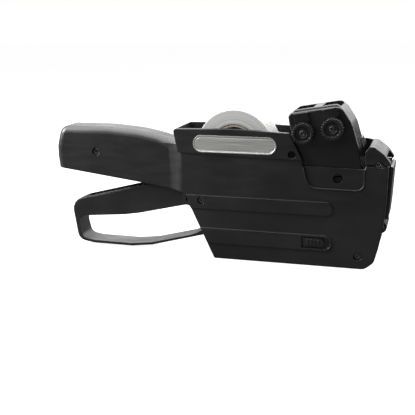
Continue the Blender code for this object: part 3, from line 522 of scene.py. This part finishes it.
pattern_screw = pan_head("pattern_screw", 2.6 * MM, 1.0 * MM)
print("one screw:", len(pattern_screw.data.polygons), "faces")


# %% Set the screws in their holes
def set_copy(pattern, name, place, angle=0.0, way=1, scale=1.0):
    """A copy of a pattern piece with its own mesh, turned about Y, facing -Y (way 1) or +Y (way -1)."""
    leave_alone()
    piece = bpy.data.objects.new(name, pattern.data.copy())
    bpy.context.scene.collection.objects.link(piece)
    piece.matrix_world = (Matrix.Translation(place) @ Matrix.Rotation(math.radians(angle), 4, "Y")
                          @ Matrix.Rotation(0.0 if way == 1 else math.pi, 4, "Z") @ Matrix.Scale(scale, 4))
    take_up(piece)
    bpy.ops.object.transform_apply(location=True, rotation=True, scale=True)
    return piece


def face_middle(node, way=1):
    """The middle of a node's outer face across the body: at its lowest Y for way 1, at its highest for -1."""
    low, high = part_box(node)
    return Vector(((low.x + high.x) / 2, low.y if way == 1 else high.y, (low.z + high.z) / 2))


SCREWS = {"handle_screw": (38, 1), "rear_screw": (12, 1), "front_screw": (66, 1), "nose_screw_right": (25, 1),
          "nose_screw_left": (50, -1)}
for node, (angle, way) in SCREWS.items():
    place = face_middle(node, way) + Vector((0, 0.42 * MM * way, 0))
    screw = set_copy(pattern_screw, node + "_head", place, angle, way)
    dress(screw, screw_steel, "steel", "casing", node)
print(len(SCREWS), "screws set")

# %% [markdown]
# ## Selector knobs
# A knob is pulled to pick a column of digits and turned to pick the digit, so its rim is toothed for the
# finger tips and its face is dished round the screw. It starts as a cylinder with six points for each tooth:
# scaling out three of every six makes teeth with flat tips, and a bevel softens them.

# %% Model one toothed knob
KNOB_TEETH, POINTS_A_TOOTH = 24, 6
knob_low, knob_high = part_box("rear_selector_knob")
KNOB_DEPTH = knob_high.y - knob_low.y
KNOB_RADIUS, TOOTH_DEPTH = 7.15 * MM, 0.62 * MM
DISH_RADIUS, DISH_DEPTH = 5.3 * MM, 1.3 * MM
COLLAR_RADIUS, COLLAR_DEPTH = 3.1 * MM, 1.2 * MM


def toothed_knob(name):
    root = KNOB_RADIUS - TOOTH_DEPTH
    knob = turned_primitive(name, root, KNOB_DEPTH, (0, KNOB_DEPTH / 2, 0), KNOB_TEETH * POINTS_A_TOOTH)
    bpy.ops.mesh.select_all(action="DESELECT")
    bpy.ops.mesh.select_mode(type="VERT")
    bpy.ops.object.mode_set(mode="OBJECT")
    for v in knob.data.vertices:
        turns = math.atan2(v.co.z, v.co.x) / (2 * math.pi)
        step = round(turns * KNOB_TEETH * POINTS_A_TOOTH) % POINTS_A_TOOTH
        v.select = step in (0, 1, 2)
    bpy.ops.object.mode_set(mode="EDIT")
    grow = KNOB_RADIUS / root
    bpy.ops.transform.resize(value=(grow, 1, grow), center_override=(0, 0, 0))
    face_towards(knob, (0, -1, 0))
    step_face(knob, 0.3 * MM, 0.0)
    bpy.ops.object.mode_set(mode="OBJECT")
    dish = turned_primitive("dish", DISH_RADIUS, 2 * DISH_DEPTH, (0, 0, 0), 64)
    face_towards(dish, (0, 1, 0))
    bpy.ops.transform.resize(value=(0.93, 1, 0.93), center_override=(0, 0, 0))
    bpy.ops.object.mode_set(mode="OBJECT")
    carve(knob, dish)
    collar = turned_primitive("collar", COLLAR_RADIUS, COLLAR_DEPTH, (0, DISH_DEPTH, 0), 48)
    face_towards(collar, (0, -1, 0))
    step_face(collar, 0.35 * MM, 0.0)
    step_face(collar, 0.25 * MM, -0.3 * MM)
    bpy.ops.object.mode_set(mode="OBJECT")
    carve(knob, collar, "UNION")
    take_up(knob)
    soften = knob.modifiers.new("soften", "BEVEL")
    soften.width, soften.segments, soften.limit_method = 0.14 * MM, 2, "ANGLE"
    soften.angle_limit = math.radians(35)
    bpy.ops.object.modifier_apply(modifier=soften.name)
    return fair(knob, 40)


pattern_knob = toothed_knob("pattern_knob")
print("one knob:", len(pattern_knob.data.polygons), "faces,",
      round(max(v.co.x for v in pattern_knob.data.vertices) / MM, 2), "mm radius")

# %% Mount the knobs and their screws
for label, angle in (("rear", 8), ("front", 40)):
    place = face_middle(label + "_selector_knob")
    knob = set_copy(pattern_knob, label + "_knob_toothed", place, angle)
    dress(knob, lever_plastic, "lever", label + "_knob", label + "_selector_knob")
    centre = place + Vector((0, 0.75 * MM, 0))
    screw = set_copy(pattern_screw, label + "_knob_screw_head", centre, angle + 20, 1, 0.8)
    dress(screw, screw_steel, "steel", label + "_knob", label + "_knob_screw")
for pattern in (pattern_screw, pattern_knob):
    bpy.data.objects.remove(pattern)
print("knobs mounted")

# %% [markdown]
# ## Label roll
# A full roll is a hard cylinder of wound paper with slightly rounded edges, and the gaps between its labels
# show as shallow lines across the outside. A profile spun round the roll's axis gives an even, closed ring
# with as many steps as we like. Two degrees a step makes each gap one step wide.

# %% Spin the label roll
def between_corners(low, high):
    return (Vector(low) + Vector(high)) / 2


roll_low, roll_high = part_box("label_roll")
ROLL_RADIUS = (roll_high.x - roll_low.x) / 2
ROLL_INNER = (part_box("roll_core")[1].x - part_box("roll_core")[0].x) / 2 + 0.3 * MM
ROLL_WIDTH = roll_high.y - roll_low.y
LABELS_ROUND, STEPS_ROUND = 10, 180
leave_alone()
profile_place = (ROLL_MIDDLE.x + (ROLL_RADIUS + ROLL_INNER) / 2, 0, ROLL_MIDDLE.z)
bpy.ops.mesh.primitive_plane_add(size=1, location=profile_place)
roll = new_piece("label_roll_wound")
bpy.ops.transform.resize(value=(ROLL_RADIUS - ROLL_INNER, ROLL_WIDTH, 1))
bpy.ops.mesh.bevel(offset=0.5 * MM, segments=4, affect="VERTICES")
bpy.ops.mesh.delete(type="ONLY_FACE")
bpy.ops.mesh.select_all(action="SELECT")
bpy.ops.mesh.spin(steps=STEPS_ROUND, angle=2 * math.pi, center=ROLL_MIDDLE, axis=(0, 1, 0))
bpy.ops.mesh.select_all(action="SELECT")
bpy.ops.mesh.remove_doubles(threshold=0.00001)
bpy.ops.mesh.normals_make_consistent(inside=False)
bpy.ops.mesh.select_mode(type="FACE")
bpy.ops.mesh.select_all(action="DESELECT")
bpy.ops.object.mode_set(mode="OBJECT")
for face in roll.data.polygons:
    away = face.center - ROLL_MIDDLE
    turn = math.degrees(math.atan2(away.z, away.x)) % (360 / LABELS_ROUND)
    outside = math.hypot(away.x, away.z) > ROLL_RADIUS - 0.1 * MM and abs(away.y) < ROLL_WIDTH / 2 - 0.6 * MM
    face.select = outside and turn < 360 / STEPS_ROUND
bpy.ops.object.mode_set(mode="EDIT")
bpy.ops.mesh.inset(thickness=0.04 * MM, depth=-0.12 * MM)
bpy.ops.object.mode_set(mode="OBJECT")
fair(roll, 40)
dress(roll, roll_paper, "paper", "label_supply", "label_roll")
print("roll:", len(roll.data.polygons), "faces,", round(ROLL_RADIUS / MM, 1), "mm radius")

# %% [markdown]
# ## Name plate
# A stadium of thin brushed aluminium sits in a pocket on each side. It carries no mark here, only its raised
# rim and an engraved line inside it. A bar with its four end edges bevelled almost to the middle gives the
# round ends in one step, and a row of insets, each pushed in or out a little, gives the rim and the line.

# %% Make the name plates
plate_low, plate_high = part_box("name_plate_right")
PLATE_SIZE = plate_high - plate_low
PLATE_STEPS = ((0.12, 0.0), (0.55, 0.0), (0.15, -0.15), (0.5, 0.0), (0.08, -0.06), (0.18, 0.0), (0.08, 0.06))
leave_alone()
bpy.ops.mesh.primitive_cube_add(size=1, location=(0, PLATE_SIZE.y / 2, 0), scale=PLATE_SIZE)
plate = new_piece("pattern_plate")
bpy.ops.mesh.select_all(action="DESELECT")
bpy.ops.mesh.select_mode(type="EDGE")
bpy.ops.object.mode_set(mode="OBJECT")
for edge in plate.data.edges:
    one, two = (plate.data.vertices[i].co for i in edge.vertices)
    edge.select = abs(one.y - two.y) > PLATE_SIZE.y / 2
bpy.ops.object.mode_set(mode="EDIT")
bpy.ops.mesh.bevel(offset=PLATE_SIZE.z * 0.49, segments=16)
face_towards(plate, (0, -1, 0))
for inwards, outwards in PLATE_STEPS:
    step_face(plate, inwards * MM, outwards * MM)
bpy.ops.object.mode_set(mode="OBJECT")
fair(plate, 30)
for node, way in (("name_plate_right", 1), ("name_plate_left", -1)):
    sign = set_copy(plate, node + "_rimmed", face_middle(node, way), 0, way)
    dress(sign, plate_metal, "name_plate", "casing", node)
bpy.data.objects.remove(plate)
print("plate in mm:", [round(v / MM, 2) for v in PLATE_SIZE])

# %% [markdown]
# ## Digits on the bands
# Through the two windows in the head the user reads the digits that will be printed: ten narrow rubber
# bands side by side, each with raised digits that run round its wheel. One raised digit of each kind is made
# from text with a low curve resolution, because it is repeated often, and copies are set round the wheel: the
# normal of the rubber is the digit's own up, and the rows run across the head.

# %% Raise the digits
BAND_PITCH, BANDS = 2.2 * MM, 10
BAND_RADIUS = 5.1 * MM
DIGIT_HEIGHT, DIGIT_HALF_DEPTH, DIGIT_RISE = 2.3 * MM, 0.14 * MM, 0.08 * MM
DIGIT_TURN, FIRST_TURN = 36, 4


def raised_digit(figure):
    leave_alone()
    bpy.ops.object.text_add(location=(0, 0, 0))
    digit = bpy.context.object
    digit.data.body, digit.data.size = figure, DIGIT_HEIGHT
    digit.data.align_x, digit.data.align_y = "CENTER", "CENTER"
    digit.data.extrude, digit.data.resolution_u = DIGIT_HALF_DEPTH, 1
    digit.scale = (0.85, 1, 1)
    bpy.ops.object.convert(target="MESH")
    bpy.ops.object.transform_apply(location=True, rotation=True, scale=True)
    return digit


figures = [raised_digit(str(k)) for k in range(10)]
print("ten digits,", sum(len(f.data.polygons) for f in figures), "faces in all")


# %% Set the digits round the wheels
def numbered_bands(label, reading):
    """The digits near the top of ten bands, so that the top row shows the reading."""
    middle = between_corners(*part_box(label + "_band_wheel"))
    placed = []
    for band, shown in enumerate(reading):
        across = middle.y + ((BANDS - 1) / 2 - band) * BAND_PITCH
        for step in range(-2, 3):
            angle = math.radians(DIGIT_TURN * step + FIRST_TURN)
            out = Vector((math.sin(angle), 0, math.cos(angle)))
            along = Vector((math.cos(angle), 0, -math.sin(angle)))
            place = Vector((middle.x, across, middle.z)) + out * (BAND_RADIUS + DIGIT_RISE)
            digit = bpy.data.objects.new("digit", figures[(int(shown) + step) % 10].data.copy())
            bpy.context.scene.collection.objects.link(digit)
            turn = Matrix((Vector((0, -1, 0)), along, out)).transposed().to_4x4()
            digit.data.transform(Matrix.Translation(place) @ turn)
            placed.append(digit)
    leave_alone()
    for digit in placed:
        digit.select_set(True)
    bpy.context.view_layer.objects.active = placed[0]
    bpy.ops.object.join()
    rows = bpy.context.object
    rows.name = label + "_band_digits"
    return dress(rows, digit_rubber_painted_highlight, "type_rubber", "print_head")


# Painted highlight: the raised digits are the bands' own dark rubber, coloured pale grey to stand for the light
# that their tops catch.
digit_rubber_painted_highlight = matt("digit_rubber_painted_highlight", (0.35, 0.35, 0.34), (0.5, 0.5, 0.49), 0.6, 0.0006, 0.00002)
for label, reading in (("rear", "1234567890"), ("front", "0056712349")):
    rows = numbered_bands(label, reading)
    print(rows.name, len(rows.data.polygons), "faces")
for figure in figures:
    bpy.data.objects.remove(figure)

# %% [markdown]
# ## Lip of the notch
# The side wall is cut away below the head, and the cut has a small rolled lip that catches the light. A round
# bead along the cut is quick to make as a path with a bevel, made a mesh at the end. Its corners are rounded
# by putting a few points on each bend.

# %% Roll the lip
def rounded_path(corners, steps=6):
    """Points through corners (x, z, radius), with an arc of steps at each bend that has a radius."""
    points = []
    for k, (x, z, radius) in enumerate(corners):
        here = Vector((x, z))
        if not radius:
            points.append(here)
            continue
        back = (Vector(corners[k - 1][:2]) - here).normalized() * radius
        ahead = (Vector(corners[k + 1][:2]) - here).normalized() * radius
        for step in range(steps + 1):
            t = step / steps
            points.append((1 - t) ** 2 * (here + back) + 2 * t * (1 - t) * here + t ** 2 * (here + ahead))
    return points


def bead(name, corners, across, radius):
    """A round bead along a side-view path, at a depth across the body, all in millimetres."""
    points = rounded_path(corners)
    leave_alone()
    bpy.ops.curve.primitive_nurbs_path_add()
    path = bpy.context.object
    path.name = name
    path.data.splines.clear()
    spline = path.data.splines.new("POLY")
    spline.points.add(len(points) - 1)
    for point, spot in zip(spline.points, points):
        point.co = (spot.x * MM, across * MM, spot.y * MM, 1)
    path.data.bevel_depth, path.data.bevel_resolution, path.data.use_fill_caps = radius * MM, 3, True
    bpy.ops.object.convert(target="MESH")
    bpy.ops.object.transform_apply(location=True, rotation=True, scale=True)
    return fair(bpy.context.object, 50)


LIP = [(13.6, 67.6, 0), (16.0, 57.4, 3.4), (20.2, 53.7, 2.6), (51.0, 53.4, 3.0), (53.6, 57.0, 2.2),
       (53.5, 67.5, 0)]
LIP_ACROSS, LIP_RADIUS = 17.55, 0.6
for side, way in (("right", -1), ("left", 1)):
    lip = bead(f"notch_lip_{side}", LIP, way * LIP_ACROSS, LIP_RADIUS)
    dress(lip, casing_plastic, "casing", "casing")
print("lip:", len(lip.data.polygons), "faces on each side")
# %% [markdown]
# ## Ribs on the front of the head
# The curved front of the head carries a few fine upright ribs. They follow the curve of the front, so the same
# bead that made the lip makes them: it is set half into the wall, and only its crest shows. The ribs stop high
# enough to stay clear of the ink roller, which meets the front of the head as it swings down.

# %% Raise the ribs
HEAD_FRONT = [(49.0, 87.0, 0), (52.5, 79.0, 9), (53.5, 71.5, 0)]
RIB_PLACES, RIB_RADIUS = (-9.0, -4.5, 0.0, 4.5, 9.0), 0.42
ribs = [bead("head_rib", HEAD_FRONT, place, RIB_RADIUS) for place in RIB_PLACES]
leave_alone()
for rib in ribs:
    rib.select_set(True)
bpy.context.view_layer.objects.active = ribs[0]
bpy.ops.object.join()
ribs = bpy.context.object
ribs.name = "head_front_ribs"
dress(ribs, head_plastic, "casing", "print_head")
print("ribs:", len(ribs.data.polygons), "faces")
